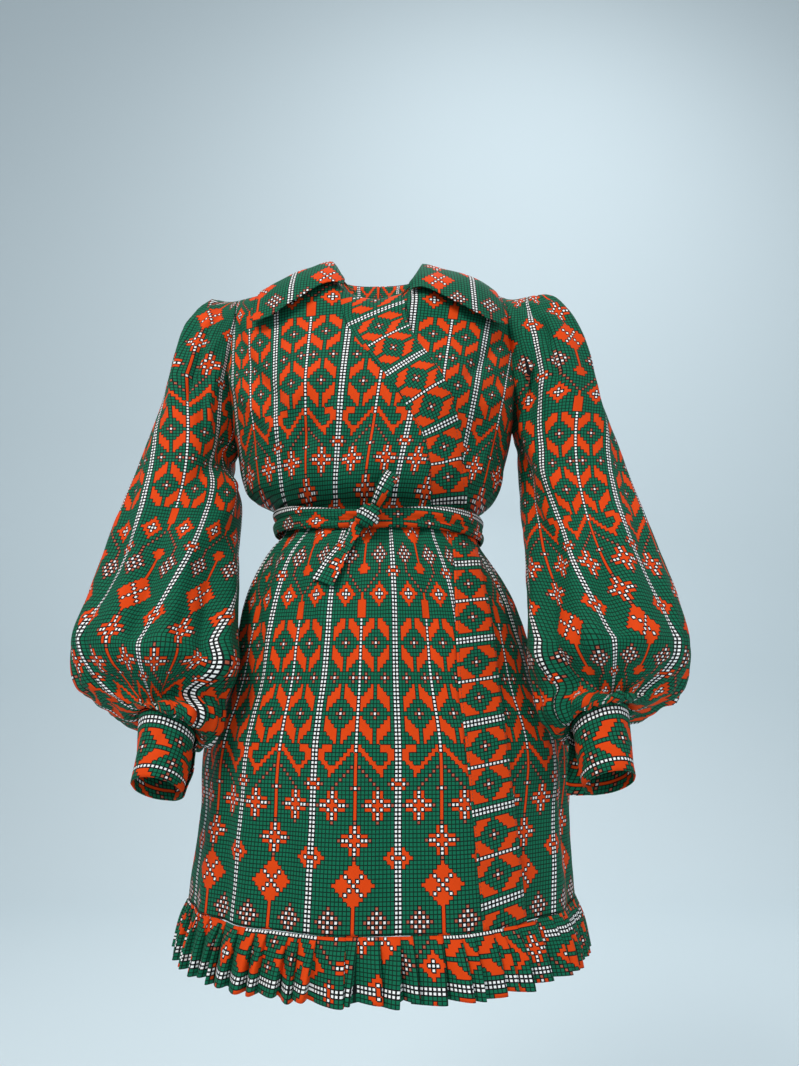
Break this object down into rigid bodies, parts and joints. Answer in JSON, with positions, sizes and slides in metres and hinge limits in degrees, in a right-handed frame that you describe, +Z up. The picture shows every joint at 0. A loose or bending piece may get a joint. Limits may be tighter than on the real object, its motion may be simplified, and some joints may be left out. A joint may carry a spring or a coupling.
{
  "type": "ankara wax print wrap dress",
  "caption": "Ankara wax print wrap dress with shirt collar, full gathered sleeves on cuffs, tied belt and pleated hem ruffle.",
  "frame": {"origin": "midway between the shoulders, at the height where the collar meets the neck; the wearer's shoulders hold the dress there", "axes": "+Z up, -Y towards the front of the dress, +X towards the wearer's left"},
  "size_m": [0.6674, 0.3913, 0.8462],
  "materials": {
    "bodice_front_right": "printed plain-weave cotton, matt with a soft wax sheen",
    "bodice_band": "printed plain-weave cotton, matt with a soft wax sheen",
    "bodice_front_left": "printed plain-weave cotton, matt with a soft wax sheen",
    "bodice_back": "printed plain-weave cotton, matt with a soft wax sheen",
    "sleeve_right": "printed plain-weave cotton, matt with a soft wax sheen",
    "sleeve_left": "printed plain-weave cotton, matt with a soft wax sheen",
    "cuff_right": "printed plain-weave cotton, matt with a soft wax sheen",
    "cuff_left": "printed plain-weave cotton, matt with a soft wax sheen",
    "skirt_front_right": "printed plain-weave cotton, matt with a soft wax sheen",
    "skirt_band": "printed plain-weave cotton, matt with a soft wax sheen",
    "skirt_front_left": "printed plain-weave cotton, matt with a soft wax sheen",
    "skirt_back": "printed plain-weave cotton, matt with a soft wax sheen",
    "ruffle_front_right": "printed plain-weave cotton, matt with a soft wax sheen",
    "ruffle_front_left": "printed plain-weave cotton, matt with a soft wax sheen",
    "ruffle_back": "printed plain-weave cotton, matt with a soft wax sheen",
    "collar_stand": "printed plain-weave cotton, matt with a soft wax sheen",
    "collar_fall": "printed plain-weave cotton, matt with a soft wax sheen",
    "belt_wrap": "printed plain-weave cotton, matt with a soft wax sheen",
    "belt_knot": "printed plain-weave cotton, matt with a soft wax sheen",
    "belt_loop": "printed plain-weave cotton, matt with a soft wax sheen",
    "belt_tail": "printed plain-weave cotton, matt with a soft wax sheen"
  },
  "bodies": {
    "root": {"bodice_front_right": "bodice_front_right", "bodice_band": "bodice_band", "bodice_front_left": "bodice_front_left", "bodice_back": "bodice_back", "sleeve_right": "sleeve_right", "sleeve_left": "sleeve_left", "cuff_right": "cuff_right", "cuff_left": "cuff_left", "skirt_front_right": "skirt_front_right", "skirt_band": "skirt_band", "skirt_front_left": "skirt_front_left", "skirt_back": "skirt_back", "ruffle_front_right": "ruffle_front_right", "ruffle_front_left": "ruffle_front_left", "ruffle_back": "ruffle_back", "collar_stand": "collar_stand", "collar_fall": "collar_fall", "belt_wrap": "belt_wrap", "belt_knot": "belt_knot", "belt_loop": "belt_loop", "belt_tail": "belt_tail"}
  },
  "joints": []
}
